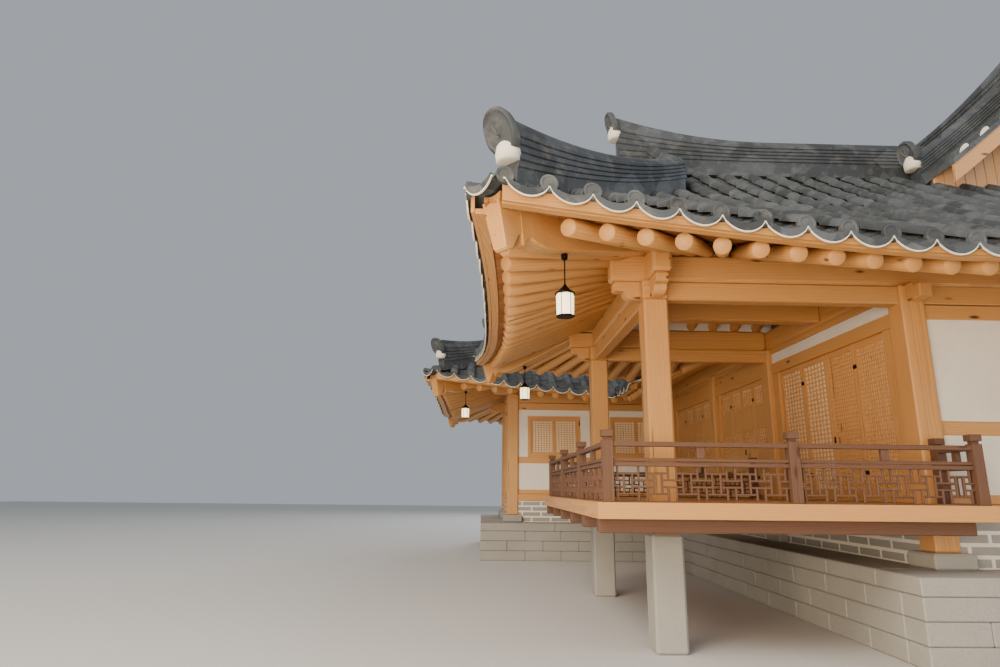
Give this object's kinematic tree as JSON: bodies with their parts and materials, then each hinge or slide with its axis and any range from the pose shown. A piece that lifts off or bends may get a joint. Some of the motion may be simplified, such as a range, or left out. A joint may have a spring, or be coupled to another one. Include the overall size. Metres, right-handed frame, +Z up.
{
  "type": "hanok house",
  "caption": "Single-storey timber hanok in a U plan, with curved clay-tile hip-and-gable roofs, an open pavilion with a railed gallery, lattice folding doors and stone platforms.",
  "frame": {"origin": "centre of the underside of the whole house, on the level ground", "axes": "+Z up, +Y from the front of the pavilion and wing to the rear, +X to the right seen from the front"},
  "size_m": [13.0696, 15.8396, 7.5058],
  "materials": {
    "tile": "rough",
    "pine": "satin",
    "weathered": "rough",
    "plaster": "rough",
    "granite": "rough",
    "paper": "rough",
    "glass": "rough"
  },
  "bodies": {
    "root": {"roof_front": "tile", "roof_pavilion_left": "tile", "roof_pavilion_back": "tile", "roof_court": "tile", "roof_back_front": "tile", "roof_back_left": "tile", "roof_rear": "tile", "roof_right": "tile", "pavilion_ridges": "tile", "back_wing_ridges": "tile", "wing_ridges": "tile", "pavilion_gable": "pine", "back_wing_gable": "pine", "front_gable": "pine", "rear_gable": "pine", "front_eave": "pine", "pavilion_left_eave": "pine", "pavilion_back_eave": "pine", "court_eave": "pine", "back_wing_front_eave": "pine", "back_wing_left_eave": "pine", "rear_eave": "pine", "right_eave": "pine", "court_wall": "pine", "pavilion_front_column": "pine", "pavilion_back_column": "pine", "pavilion_lintels": "pine", "pavilion_roof_beams": "pine", "wing_floor": "pine", "back_wing_floor": "pine", "pavilion_floor": "pine", "wing_footing": "granite", "back_wing_footing": "granite", "wing_platform": "granite", "back_wing_platform": "granite", "front_stone_post": "granite", "back_stone_post": "granite", "front_wall": "plaster", "right_wall": "plaster", "rear_wall": "plaster", "back_wing_front_wall": "plaster", "back_wing_left_wall": "plaster", "back_wing_window_left": "paper", "back_wing_window_right": "paper", "right_window_paper": "paper", "rear_window_paper": "paper", "back_wing_left_window_paper": "paper", "court_doors_front": "paper", "court_doors_middle": "paper", "court_doors_rear": "paper", "pavilion_joists": "weathered", "front_railing": "weathered", "return_railing": "weathered", "back_railing": "weathered", "left_railing": "weathered", "front_lantern": "glass", "court_lantern": "glass", "back_wing_lantern": "glass"}
  },
  "joints": []
}
